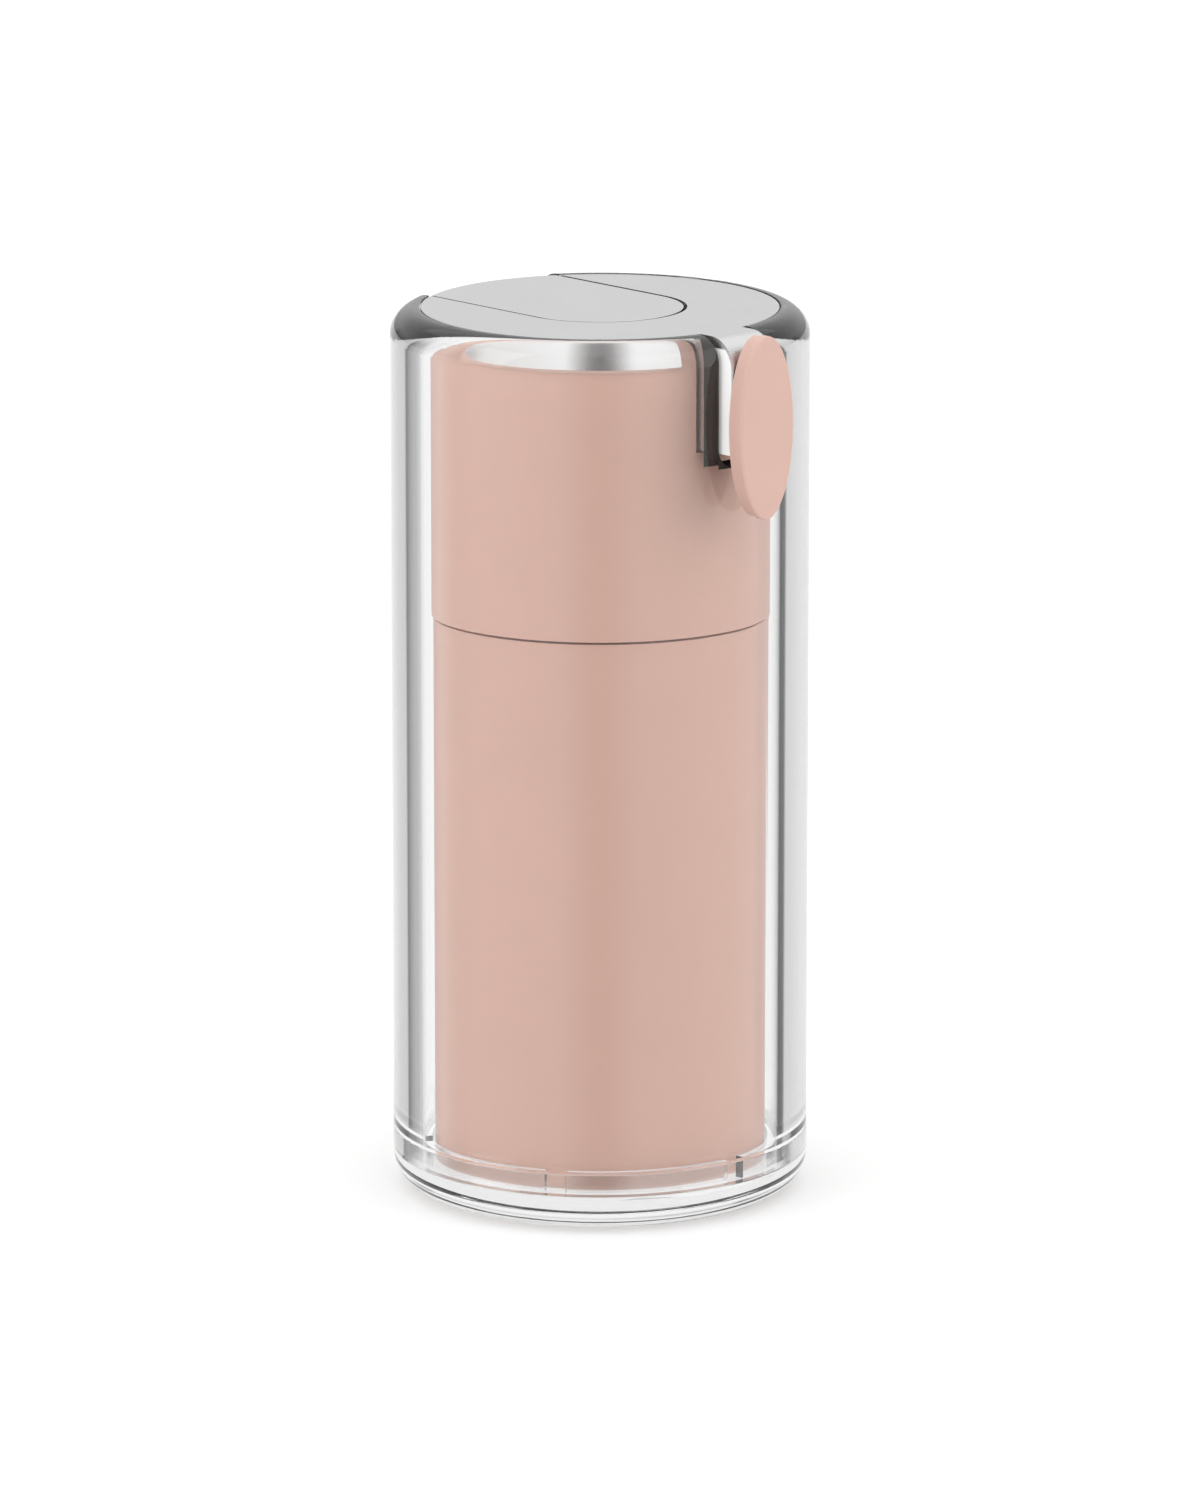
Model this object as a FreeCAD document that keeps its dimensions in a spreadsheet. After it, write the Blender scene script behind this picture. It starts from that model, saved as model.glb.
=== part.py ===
import FreeCAD, Part
import math
import os
import re
import Sketcher

# Airless pump bottle: a pink refill with its pump stands inside a thick clear shell.
# Millimetres, +Z up, origin at the middle of the underside, spout towards -Y.

doc = FreeCAD.newDocument("airless_pump_bottle")

# Driving sizes
sizes = {
    # clear shell and its base
    "shell_dia": 46.0,
    "height": 99.0,
    "shell_wall": 3.2,
    "lip_flat": 0.2,
    "skirt_wall": 1.5,
    "base_height": 6.8,
    "base_floor": 4.0,
    "foot_radius": 4.0,
    "finger_height": 2.4,
    "finger_gap": 0.3,
    "slit_width": 2.2,
    "slit_count": 6,
    "slit_turn": 3.5,
    "notch_side": 0.55,
    "notch_depth": 4.0,
    "slot_side": 0.45,
    "slot_under": 1.55,
    "slot_corner": 2.0,
    # pink bottle, plug and follower
    "collar_gap": 1.25,
    "collar_wall": 1.5,
    "collar_height": 29.6,
    "ledge_thick": 1.2,
    "seam_gap": 0.3,
    "bottle_step": 0.2,
    "bottle_wall": 1.95,
    "bottle_foot": 0.8,
    "shoulder_wall": 2.0,
    "neck_height": 10.3,
    "neck_wall": 1.25,
    "bead_rise": 0.3,
    "bead_height": 0.6,
    "bead_drop": 4.6,
    "plug_lip": 0.6,
    "plug_inset": 0.5,
    "plug_thick": 1.8,
    "vent_dia": 1.6,
    "follower_height": 12.0,
    "follower_fit": 0.06,
    "follower_rest": 0.3,
    "follower_crown": 2.2,
    "follower_wall": 1.3,
    "lip_rise": 0.7,
    "lip_height": 1.5,
    # pump
    "gasket_thick": 0.8,
    "flange_thick": 1.6,
    "pump_bore": 10.0,
    "pump_wall": 1.4,
    "pump_rise": 3.0,
    "pump_floor": 1.0,
    "press_stroke": 3.5,
    "stroke_gap": 0.2,
    "guide_depth": 2.4,
    "guide_head": 1.2,
    "guide_rim": 0.4,
    "guide_boss": 1.0,
    "piston_height": 5.0,
    "piston_waist": 0.65,
    "piston_lip": 1.0,
    "spigot_dia": 3.2,
    "spigot_height": 3.5,
    "rod_dia": 5.0,
    "port_dia": 1.6,
    "seat_floor": 1.2,
    "cage_thick": 0.5,
    "cage_rim": 0.9,
    "cage_hole": 2.4,
    "cage_slot": 0.8,
    "cage_slots": 3,
    "inlet_lift": 0.8,
    "inlet_ball_dia": 4.0,
    "inlet_hole": 2.6,
    "inlet_mouth": 8.0,
    "ball_play": 0.25,
    "ball_rest": 0.02,
    "outlet_ball_dia": 3.0,
    "outlet_hole": 2.0,
    "outlet_lift": 0.9,
    "elbow_slit": 0.9,
    "lug_wall": 0.75,
    "lug_gap": 0.4,
    "web_width": 3.8,
    "coil_dia": 11.0,
    "coil_clear": 0.5,
    "wire_dia": 0.8,
    "coil_turns": 6,
    # head and spout
    "plate_drop": 0.05,
    "plate_thick": 1.2,
    "plate_gap": 0.2,
    "trim_height": 2.5,
    "trim_proud": 0.32,
    "trim_band": 0.5,
    "post_width": 1.8,
    "tail_wall": 0.7,
    "tail_web": 1.6,
    "pad_width": 18.3,
    "pad_thick": 1.2,
    "pad_gap": 0.4,
    "pad_edge": 0.08,
    "pad_overhang": 1.2,
    "peg_dia": 1.4,
    "peg_length": 1.5,
    "peg_spread": 52.0,
    "carrier_thick": 1.0,
    "boss_length": 3.2,
    "rod_socket": 0.4,
    "frame_wall": 1.0,
    "rim_width": 2.5,
    "rim_height": 2.6,
    "deck_thick": 1.0,
    "deck_hole_gap": 0.6,
    "front_gap": 0.3,
    "spout_drop": 9.7,
    "spout_gap": 1.6,
    "block_set": 0.1,
    "elbow_run": 0.7,
    "block_under": 3.0,
    "block_wall": 0.36,
    "nose_radius": 3.5,
    "elbow_dia": 3.6,
    "elbow_bend": 2.6,
    "elbow_entry": 2.0,
    "duct_dia": 2.0,
    "seal_dia": 0.84,
    "socket_depth": 1.5,
    "oval_width": 7.8,
    "oval_height": 20.1,
    "back_inset": 0.15,
    "back_thick": 1.1,
    "cover_thick": 1.0,
    "oval_edge": 0.25,
    "channel_width": 1.6,
    "channel_depth": 0.6,
    "edge_round": 0.2,
    # clearances
    "fit_gap": 0.1,
    "seat_gap": 0.05,
}

# Radii and heights that follow from the driving sizes
places = {
    "shell_r": "shell_dia / 2",
    "bore_r": "shell_r - shell_wall",
    "skirt_r": "bore_r + skirt_wall",
    "shoulder_radius": "shell_wall - lip_flat",
    "collar_r": "bore_r - collar_gap",
    "collar_in": "collar_r - collar_wall",
    "bottle_r": "collar_r - bottle_step",
    "bottle_bore": "bottle_r - bottle_wall",
    "neck_r": "collar_in - fit_gap",
    "neck_bore": "neck_r - neck_wall",
    "plate_r": "bore_r - plate_gap",
    "trim_r": "collar_r + trim_proud",
    "frame_r": "collar_in - fit_gap",
    "frame_in": "frame_r - frame_wall",
    "tail_in": "frame_r - tail_wall",
    "rim_r": "tail_in - fit_gap",
    "rim_in": "rim_r - rim_width",
    "pump_r": "pump_bore / 2",
    "pump_out": "pump_r + pump_wall",
    "rod_r": "rod_dia / 2",
    "coil_r": "coil_dia / 2",
    "head_r": "max(coil_r; pump_r) + guide_rim",
    "boss_r": "coil_r - wire_dia - coil_clear",
    "elbow_r": "elbow_dia / 2",
    "lug_r": "elbow_r + seat_gap + lug_wall",
    "riser_y": "neck_bore - lug_gap - lug_r",
    "block_back": "riser_y + elbow_bend + elbow_run",
    "riser_r": "outlet_ball_dia / 2 + ball_play",
    "pocket_r": "inlet_ball_dia / 2 + ball_play",
    "cage_r": "pocket_r + cage_rim",
    "seal_groove": "elbow_r + seal_dia + seat_gap",
    "block_half": "seal_groove + block_wall",
    "gap_half": "block_half + front_gap",
    "post_half": "gap_half + post_width",
    "slot_half": "block_half + slot_side",
    "pad_r": "pad_width / 2",
    "cut_half": "pad_r + pad_gap",
    "notch_half": "pad_r + notch_side",
    "carrier_r": "pad_r - pad_overhang",
    "plug_r": "bottle_bore + plug_lip",
    "follower_r": "bottle_bore - follower_fit",
    "oval_back": "shell_r + spout_gap",
    "block_front": "oval_back - block_set",
    "cover_back": "oval_back + back_thick",
    "oval_front": "cover_back + cover_thick",
    "head_top": "height - plate_drop",
    "plate_low": "head_top - plate_thick",
    "pad_low": "head_top - pad_thick",
    "collar_top": "plate_low - trim_height",
    "seam": "collar_top - collar_height",
    "bottle_top": "seam - seam_gap",
    "bottle_low": "base_floor + seat_gap",
    "shoulder_low": "bottle_top - shoulder_wall",
    "neck_top": "bottle_top + neck_height",
    "bead_top": "neck_top - bead_drop",
    "bead_low": "bead_top - bead_height",
    "plug_low": "bottle_low + plug_inset",
    "plug_top": "plug_low + plug_thick",
    "follower_low": "plug_top + follower_rest",
    "follower_top": "follower_low + follower_height",
    "flange_low": "neck_top + gasket_thick",
    "flange_top": "flange_low + flange_thick",
    "ledge_top": "flange_top + ledge_thick",
    "pump_top": "flange_top + pump_rise",
    "guide_low": "pump_top - guide_depth",
    "guide_top": "pump_top + guide_head",
    "piston_top": "guide_low - stroke_gap",
    "piston_low": "piston_top - piston_height",
    "port_z": "piston_low - press_stroke - stroke_gap - port_dia / 2",
    "seat_top": "port_z - port_dia / 2 - seat_gap",
    "inlet_reach": "(inlet_ball_dia + sqrt(inlet_ball_dia ^ 2 - inlet_hole ^ 2)) / 2 + ball_rest",
    "cage_low": "seat_top - cage_thick",
    "pocket_low": "cage_low - inlet_lift - inlet_reach",
    "seat_low": "pocket_low - seat_floor",
    "pump_low": "seat_low - pump_floor",
    "outlet_reach": "(outlet_ball_dia + sqrt(outlet_ball_dia ^ 2 - outlet_hole ^ 2)) / 2 + ball_rest",
    "riser_seat": "pump_top - elbow_entry - outlet_lift - outlet_reach",
    "carrier_low": "pad_low - carrier_thick",
    "deck_top": "carrier_low - press_stroke - stroke_gap",
    "deck_low": "deck_top - deck_thick",
    "back_low": "pad_low - press_stroke - 2 * stroke_gap",
    "tail_low": "back_low - tail_web",
    "duct_z": "head_top - spout_drop",
    "block_low": "duct_z - block_under",
    "front_low": "block_low - front_gap",
    "slot_low": "block_low - slot_under",
    "notch_low": "height - notch_depth",
    "finger_top": "base_floor + finger_height",
}

beyond = "shell_dia"  # a cut this long clears the whole object


def cell_names(text):
    # An expression with each cell's sheet put before its name
    def named(found):
        word = found.group()
        if word in sizes:
            return "sizes." + word
        if word in places:
            return "places." + word
        return word
    return re.sub(r"[a-z]+(_[a-z]+)*", named, text)


def fill_sheet(name, rows):
    sheet = doc.addObject("Spreadsheet::Sheet", name)
    for row, (alias, content) in enumerate(rows.items(), start=1):
        sheet.set(f"A{row}", alias)
        sheet.set(f"B{row}", content)
        sheet.setAlias(f"B{row}", alias)
    doc.recompute()
    return sheet


fill_sheet("sizes", {alias: str(number) for alias, number in sizes.items()})
place_sheet = fill_sheet("places", {alias: "=" + cell_names(text) for alias, text in places.items()})


def value(text):
    return float(place_sheet.evalExpression(cell_names(text)))


def bind(thing, prop, text):
    thing.setExpression(prop, cell_names(text))


def new_body(label):
    body = doc.addObject("PartDesign::Body", label)
    body.Label = label
    return body


def new_sketch(body, name, plane, lift="0"):
    # A sketch on one of the body's own origin planes, lifted along the plane's normal
    sketch = body.newObject("Sketcher::SketchObject", name)
    support = next(part for part in body.Origin.OriginFeatures if part.Role == plane)
    sketch.AttachmentSupport = [(support, "")]
    sketch.MapMode = "FlatFace"
    bind(sketch, "AttachmentOffset.Base.z", lift)
    return sketch


def dimension(sketch, kind, items, name, text):
    # A driving dimension bound to the sheets
    index = sketch.addConstraint(Sketcher.Constraint(kind, *items, value(text)))
    sketch.renameConstraint(index, name)
    bind(sketch, "Constraints." + name, text)


def pin(sketch, geometry, position, name, x_text, y_text):
    # Holds a point at x, y from the sketch's origin
    for axis, kind, text, line in (("x", "DistanceX", x_text, -2), ("y", "DistanceY", y_text, -1)):
        if text == "0":
            sketch.addConstraint(Sketcher.Constraint("PointOnObject", geometry, position, line))
        else:
            dimension(sketch, kind, (-1, 1, geometry, position), f"{name}_{axis}", text)


def arc_between(start, end, radius, turn):
    # The shorter arc from start to end; turn is 1 anticlockwise or -1 clockwise
    chord = end - start
    rise = math.sqrt(max(radius ** 2 - (chord.Length / 2) ** 2, 0.0))
    left = FreeCAD.Vector(-chord.y, chord.x, 0).normalize()
    centre = (start + end) * 0.5 + left * (rise * turn)
    first, last = (start, end) if turn > 0 else (end, start)
    angles = [math.atan2(point.y - centre.y, point.x - centre.x) for point in (first, last)]
    if angles[1] <= angles[0]:
        angles[1] += 2 * math.pi
    circle = Part.Circle(centre, FreeCAD.Vector(0, 0, 1), radius)
    return Part.ArcOfCircle(circle, *angles)


def draw_outline(sketch, corners):
    # Closes a loop through corners (x, y) or (x, y, radius, turn), where an arc leads to the next one
    spots = [FreeCAD.Vector(value(corner[0]), value(corner[1]), 0) for corner in corners]
    ends = []
    for number, corner in enumerate(corners):
        start, end = spots[number], spots[(number + 1) % len(spots)]
        if len(corner) == 2:
            geometry = sketch.addGeometry(Part.LineSegment(start, end), False)
            ends.append((geometry, 1, 2))
        else:
            arc = arc_between(start, end, value(corner[2]), corner[3])
            geometry = sketch.addGeometry(arc, False)
            ends.append((geometry, 1, 2) if corner[3] > 0 else (geometry, 2, 1))
    for number, (geometry, _, last) in enumerate(ends):
        after, after_first, _ = ends[(number + 1) % len(ends)]
        sketch.addConstraint(Sketcher.Constraint("Coincident", geometry, last, after, after_first))
    for number, corner in enumerate(corners):
        geometry, first, _ = ends[number]
        pin(sketch, geometry, first, f"corner{number}", corner[0], corner[1])
        if len(corner) > 2:
            half_turn = math.isclose((spots[(number + 1) % len(spots)] - spots[number]).Length,
                                     2 * value(corner[2]), rel_tol=1e-9)
            if half_turn:
                middle = [f"({corner[side]} + {corners[(number + 1) % len(corners)][side]}) / 2"
                          for side in (0, 1)]
                dimension(sketch, "DistanceY", (-1, 1, geometry, 3), f"middle{number}", middle[1])
            else:
                dimension(sketch, "Radius", (geometry,), f"radius{number}", corner[2])


def draw_circle(sketch, x_text, y_text, radius):
    centre = FreeCAD.Vector(value(x_text), value(y_text), 0)
    circle = Part.Circle(centre, FreeCAD.Vector(0, 0, 1), value(radius))
    geometry = sketch.addGeometry(circle, False)
    pin(sketch, geometry, 3, "centre", x_text, y_text)
    dimension(sketch, "Radius", (geometry,), "radius", radius)


def turned(label, corners):
    # A body turned about the Z axis from a profile of radius and height
    body = new_body(label)
    sketch = new_sketch(body, label + "_profile", "XZ_Plane")
    draw_outline(sketch, corners)
    turn = body.newObject("PartDesign::Revolution", label + "_turn")
    turn.Profile = sketch
    turn.ReferenceAxis = (sketch, ["V_Axis"])
    turn.Angle = 360
    doc.recompute()
    return body


def add_pad(body, sketch, name, length, reverse=False, middle=False):
    pad = body.newObject("PartDesign::Pad", name)
    pad.Profile = sketch
    bind(pad, "Length", length)
    pad.Reversed = reverse
    pad.Midplane = middle
    doc.recompute()
    return pad


def add_pocket(body, sketch, name, length, reverse=False):
    before = body.Shape.Volume
    pocket = body.newObject("PartDesign::Pocket", name)
    pocket.Profile = sketch
    bind(pocket, "Length", length)
    pocket.Reversed = reverse
    doc.recompute()
    if body.Shape.Volume >= before:
        raise RuntimeError(name + " cuts nothing")
    return pocket


def repeat_round(body, sketch, feature, count):
    # Repeats a feature evenly round the Z axis
    ring = body.newObject("PartDesign::PolarPattern", feature.Name + "_ring")
    ring.Originals = [feature]
    ring.Axis = (sketch, ["N_Axis"])
    ring.Angle = 360
    bind(ring, "Occurrences", count)
    body.Tip = ring
    doc.recompute()


def rectangle(x_low, x_high, y_low, y_high):
    return [(x_low, y_low), (x_high, y_low), (x_high, y_high), (x_low, y_high)]


def cut_front(body, name, half, inner, top, low):
    # Opens the front of a ring, from a height down, beyond a distance from the axis
    sketch = new_sketch(body, name + "_sketch", "XY_Plane", top)
    draw_outline(sketch, rectangle(f"-({half})", half, f"-({beyond})", f"-({inner})"))
    return add_pocket(body, sketch, name, f"{top} - ({low})")


def cut_back(body, name, half, inner, top, low):
    # The same at the back, under the tail of the press pad or the fingertip
    sketch = new_sketch(body, name + "_sketch", "XY_Plane", top)
    draw_outline(sketch, rectangle(f"-({half})", half, inner, beyond))
    return add_pocket(body, sketch, name, f"{top} - ({low})")


def round_edges(body, name, wanted, radius):
    # Rounds the edges of the body's last feature that the test picks
    feature = body.Tip
    picked = [f"Edge{number}" for number, edge in enumerate(feature.Shape.Edges, start=1) if wanted(edge)]
    if not picked:
        raise RuntimeError(name + " finds no edge")
    rounding = body.newObject("PartDesign::Fillet", name)
    rounding.Base = (feature, picked)
    bind(rounding, "Radius", radius)
    doc.recompute()
    return rounding


def at_height(text):
    # Picks edges that lie at one height
    level = value(text)
    return lambda edge: abs(edge.BoundBox.ZMin - level) < 1e-6 and abs(edge.BoundBox.ZMax - level) < 1e-6


def at_depth(text):
    # Picks edges that lie in one plane across the Y axis
    level = value(text)
    return lambda edge: abs(edge.BoundBox.YMin - level) < 1e-6 and abs(edge.BoundBox.YMax - level) < 1e-6


# Outer shell: tube with a rounded shoulder, a skirt inside the base, a spout slot and a finger notch

def make_outer_shell():
    body = turned("outer_shell", [
        ("bore_r", "base_floor + seat_gap"),
        ("skirt_r", "base_floor + seat_gap"),
        ("skirt_r", "base_height + seat_gap"),
        ("shell_r", "base_height + seat_gap"),
        ("shell_r", "height - shoulder_radius", "shoulder_radius", 1),
        ("shell_r - shoulder_radius", "height"),
        ("bore_r", "height"),
    ])
    slot = new_sketch(body, "spout_slot_outline", "XZ_Plane")
    draw_outline(slot, [
        ("slot_half", f"height + {beyond}"),
        ("-slot_half", f"height + {beyond}"),
        ("-slot_half", "slot_low + slot_corner", "slot_corner", 1),
        ("-slot_half + slot_corner", "slot_low"),
        ("slot_half - slot_corner", "slot_low", "slot_corner", 1),
        ("slot_half", "slot_low + slot_corner"),
    ])
    add_pocket(body, slot, "spout_slot", beyond, reverse=True)
    cut_back(body, "finger_notch", "notch_half", "shell_r / 2", "height", "notch_low")
    return body


# Base: floor, outer wall round the shell's skirt, and a ring of fingers round the bottle's foot

def make_base_cup():
    wall_in = "skirt_r + fit_gap"
    finger_out = "bore_r - finger_gap"
    finger_in = "bottle_r + finger_gap"
    body = turned("base_cup", [
        ("0", "0"),
        ("shell_r - foot_radius", "0", "foot_radius", 1),
        ("shell_r", "foot_radius"),
        ("shell_r", "base_height"),
        (wall_in, "base_height"),
        (wall_in, "base_floor"),
        (finger_out, "base_floor"),
        (finger_out, "finger_top"),
        (finger_in, "finger_top"),
        (finger_in, "base_floor"),
        ("0", "base_floor"),
    ])
    slit = new_sketch(body, "finger_slit_outline", "XY_Plane", "finger_top")
    bind(slit, "AttachmentOffset.Rotation.Angle", "slit_turn")
    draw_outline(slit, rectangle("-slit_width / 2", "slit_width / 2", "-bore_r", "-bottle_r"))
    repeat_round(body, slit, add_pocket(body, slit, "finger_slit", "finger_height"), "slit_count")
    return body


# Pink bottle with a stepped foot for its plug and a neck with a snap bead

def make_inner_bottle():
    return turned("inner_bottle", [
        ("plug_r", "bottle_low"),
        ("bottle_r - bottle_foot", "bottle_low", "bottle_foot", 1),
        ("bottle_r", "bottle_low + bottle_foot"),
        ("bottle_r", "bottle_top"),
        ("neck_r", "bottle_top"),
        ("neck_r", "bead_low - bead_rise"),
        ("neck_r + bead_rise", "bead_low"),
        ("neck_r + bead_rise", "bead_top"),
        ("neck_r", "bead_top + bead_rise"),
        ("neck_r", "neck_top"),
        ("neck_bore", "neck_top"),
        ("neck_bore", "shoulder_low"),
        ("bottle_bore", "shoulder_low"),
        ("bottle_bore", "plug_top"),
        ("plug_r", "plug_top"),
    ])


def make_base_plug():
    return turned("bottle_base_plug", [
        ("vent_dia / 2", "plug_low"),
        ("plug_r - seat_gap", "plug_low"),
        ("plug_r - seat_gap", "plug_top"),
        ("vent_dia / 2", "plug_top"),
    ])


# Follower: a cup with a wiping lip at each end

def make_follower():
    waist = "follower_r - lip_rise"
    inner = "follower_r - lip_rise - follower_wall"
    return turned("follower_piston", [
        ("0", "follower_top - follower_crown"),
        (inner, "follower_top - follower_crown"),
        (inner, "follower_low"),
        ("follower_r", "follower_low"),
        ("follower_r", "follower_low + lip_height"),
        (waist, "follower_low + lip_height + lip_rise"),
        (waist, "follower_top - lip_height - lip_rise"),
        ("follower_r", "follower_top - lip_height"),
        ("follower_r", "follower_top"),
        ("0", "follower_top"),
    ])


# Pink sleeve: snaps over the bottle's neck, and its ledge clamps the pump; a post stands on each side of the
# opening for the block

def make_pump_collar():
    post_top = "(plate_low - seat_gap)"
    body = turned("pump_collar", [
        ("collar_in", "seam"),
        ("collar_r", "seam"),
        ("collar_r", post_top),
        ("collar_in", post_top),
        ("collar_in", "ledge_top"),
        ("neck_bore", "ledge_top"),
        ("neck_bore", "flange_top"),
        ("collar_in", "flange_top"),
        ("collar_in", "bead_top + bead_rise + fit_gap"),
        ("collar_in + bead_rise", "bead_top + fit_gap"),
        ("collar_in + bead_rise", "bead_low - fit_gap"),
        ("collar_in", "bead_low - bead_rise - fit_gap"),
    ])
    around = new_sketch(body, "post_outline", "XY_Plane", post_top)
    draw_outline(around, [
        ("-post_half", f"-({beyond})"),
        ("-post_half", "0"),
        ("post_half", "0"),
        ("post_half", f"-({beyond})"),
        (beyond, f"-({beyond})"),
        (beyond, beyond),
        (f"-({beyond})", beyond),
        (f"-({beyond})", f"-({beyond})"),
    ])
    add_pocket(body, around, "posts", f"{post_top} - collar_top")
    cut_front(body, "block_gap", "gap_half", "shell_r / 2", post_top, "front_low")
    cut_back(body, "pad_gap_cut", "cut_half", "shell_r / 2", "collar_top", "back_low")
    return body


def make_neck_gasket():
    return turned("neck_gasket", [
        ("neck_bore", "neck_top"),
        ("neck_r", "neck_top"),
        ("neck_r", "flange_low"),
        ("neck_bore", "flange_low"),
    ])


# Pump body: chamber with a flange, and a riser in front that holds the outlet valve

def make_pump_body():
    body = turned("pump_body", [
        ("inlet_mouth / 2", "pump_low"),
        ("pump_out", "pump_low"),
        ("pump_out", "flange_low"),
        ("neck_r", "flange_low"),
        ("neck_r", "flange_top"),
        ("pump_out", "flange_top"),
        ("pump_out", "pump_top"),
        ("pump_r", "pump_top"),
        ("pump_r", "seat_low"),
        ("inlet_mouth / 2", "seat_low"),
    ])
    lug_low = "port_z - port_dia"
    lug = new_sketch(body, "riser_lug_outline", "XY_Plane", lug_low)
    draw_circle(lug, "0", "-riser_y", "lug_r")
    add_pad(body, lug, "riser_lug", f"pump_top - ({lug_low})")
    web = new_sketch(body, "riser_web_outline", "XY_Plane", lug_low)
    draw_outline(web, rectangle("-web_width / 2", "web_width / 2", "-riser_y", "-(pump_r + pump_wall / 2)"))
    add_pad(body, web, "riser_web", f"flange_low - ({lug_low})")
    port = new_sketch(body, "outlet_port_outline", "XZ_Plane")
    draw_circle(port, "0", "port_z", "port_dia / 2")
    add_pocket(body, port, "outlet_port", "riser_y", reverse=True)
    bores = (
        ("elbow_socket", "elbow_r + seat_gap", "pump_top - elbow_entry - seat_gap"),
        ("riser_bore", "riser_r", "riser_seat"),
        ("riser_hole", "outlet_hole / 2", "port_z"),
    )
    for name, radius, low in bores:
        sketch = new_sketch(body, name + "_outline", "XY_Plane", "pump_top")
        draw_circle(sketch, "0", "-riser_y", radius)
        add_pocket(body, sketch, name, f"pump_top - ({low})")
    return body


# Inlet valve: a seat in the chamber's floor, its ball, and a slotted cage that stops the ball

def make_inlet_seat():
    return turned("inlet_seat", [
        ("inlet_hole / 2", "seat_low"),
        ("pump_r - seat_gap", "seat_low"),
        ("pump_r - seat_gap", "seat_top"),
        ("cage_r", "seat_top"),
        ("cage_r", "cage_low"),
        ("pocket_r", "cage_low"),
        ("pocket_r", "pocket_low"),
        ("inlet_hole / 2", "pocket_low"),
    ])


def make_inlet_cage():
    body = turned("inlet_cage", [
        ("cage_hole / 2", "cage_low"),
        ("cage_r - seat_gap", "cage_low"),
        ("cage_r - seat_gap", "seat_top"),
        ("cage_hole / 2", "seat_top"),
    ])
    slot = new_sketch(body, "cage_slot_outline", "XY_Plane", "seat_top")
    draw_outline(slot, rectangle("-cage_slot / 2", "cage_slot / 2", "0", "inlet_ball_dia / 2"))
    repeat_round(body, slot, add_pocket(body, slot, "cage_slot", "cage_thick"), "cage_slots")
    return body


def make_ball(label, diameter, hole, seat, y_text):
    # A valve ball at rest on the edge of its hole
    ball = doc.addObject("Part::Sphere", label)
    ball.Label = label
    bind(ball, "Radius", f"{diameter} / 2")
    bind(ball, "Placement.Base.y", y_text)
    bind(ball, "Placement.Base.z", f"{seat} + sqrt({diameter} ^ 2 - {hole} ^ 2) / 2 + ball_rest")
    return ball


def make_pump_piston():
    lip = "pump_r - seat_gap"
    waist = "pump_r - piston_waist"
    spigot = "spigot_dia / 2 + seat_gap"
    spigot_low = "piston_top - spigot_height - seat_gap"
    return turned("pump_piston", [
        ("0", "piston_low"),
        (lip, "piston_low"),
        (lip, "piston_low + piston_lip"),
        (waist, "piston_low + piston_lip + piston_waist"),
        (waist, "piston_top - piston_lip - piston_waist"),
        (lip, "piston_top - piston_lip"),
        (lip, "piston_top"),
        (spigot, "piston_top"),
        (spigot, spigot_low),
        ("0", spigot_low),
    ])


def make_piston_rod():
    rod_top = "carrier_low + rod_socket - seat_gap"
    return turned("piston_rod", [
        ("0", "piston_top - spigot_height"),
        ("spigot_dia / 2", "piston_top - spigot_height"),
        ("spigot_dia / 2", "piston_top"),
        ("rod_r", "piston_top"),
        ("rod_r", rod_top),
        ("0", rod_top),
    ])


def make_rod_guide():
    bore = "rod_r + seat_gap"
    return turned("rod_guide", [
        (bore, "guide_low"),
        ("pump_r - seat_gap", "guide_low"),
        ("pump_r - seat_gap", "pump_top"),
        ("head_r", "pump_top"),
        ("head_r", "guide_top"),
        ("boss_r", "guide_top"),
        ("boss_r", "guide_top + guide_boss"),
        (bore, "guide_top + guide_boss"),
    ])


# Return spring: one round wire on short arcs along its helix, between the guide and the pad's carrier

def biarc(start, end, start_way, end_way):
    # Two arcs that leave start along start_way and reach end along end_way
    span = end - start
    ways = start_way + end_way
    bend = 2 * (1 - start_way.dot(end_way))
    reach = (math.sqrt(span.dot(ways) ** 2 + bend * span.dot(span)) - span.dot(ways)) / bend
    knee = (start + start_way * reach + end - end_way * reach) * 0.5
    arcs = []
    for first, last, way in ((start, knee, start_way), (end, knee, end_way * -1)):
        chord = last - first
        across = (chord - way * chord.dot(way)).normalize()
        radius = chord.dot(chord) / (2 * chord.dot(across))
        centre = first + across * radius
        outward = ((first + last) * 0.5 - centre).normalize()
        arcs.append(Part.Arc(first, centre + outward * radius, last).toShape())
    return arcs


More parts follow.
